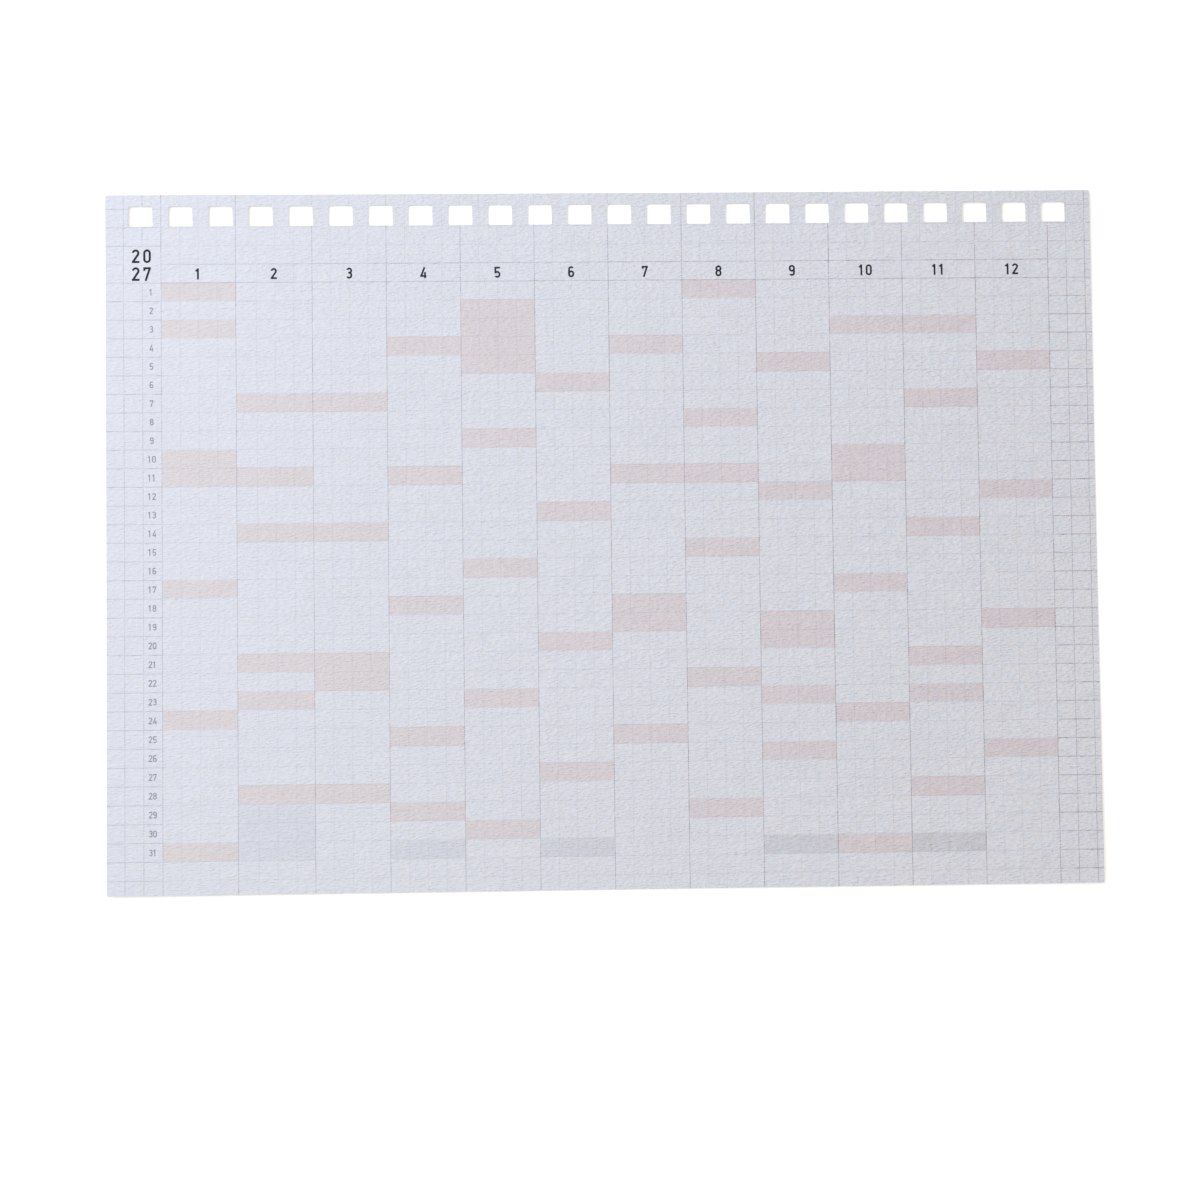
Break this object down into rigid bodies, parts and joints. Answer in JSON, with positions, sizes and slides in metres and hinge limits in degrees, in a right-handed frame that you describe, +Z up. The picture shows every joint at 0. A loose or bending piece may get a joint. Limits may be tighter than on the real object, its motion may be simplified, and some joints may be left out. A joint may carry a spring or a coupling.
{
  "type": "planner leaf",
  "caption": "Loose A5 landscape planner sheet: a ruled year schedule on its face and a row of punched wire-binding holes along its top edge.",
  "frame": {"origin": "on the surface that the sheet lies on, under the middle of the sheet", "axes": "+X along the lines of the page to the reader's right, +Y up the page to the punched edge, +Z up out of the printed face"},
  "size_m": [0.21, 0.148, 0.0002],
  "materials": {
    "printed_paper": "uncoated, softly textured bluish white paper with fine grey ruling and pale pink day cells"
  },
  "bodies": {
    "root": {"planner_leaf": "printed_paper"}
  },
  "joints": []
}
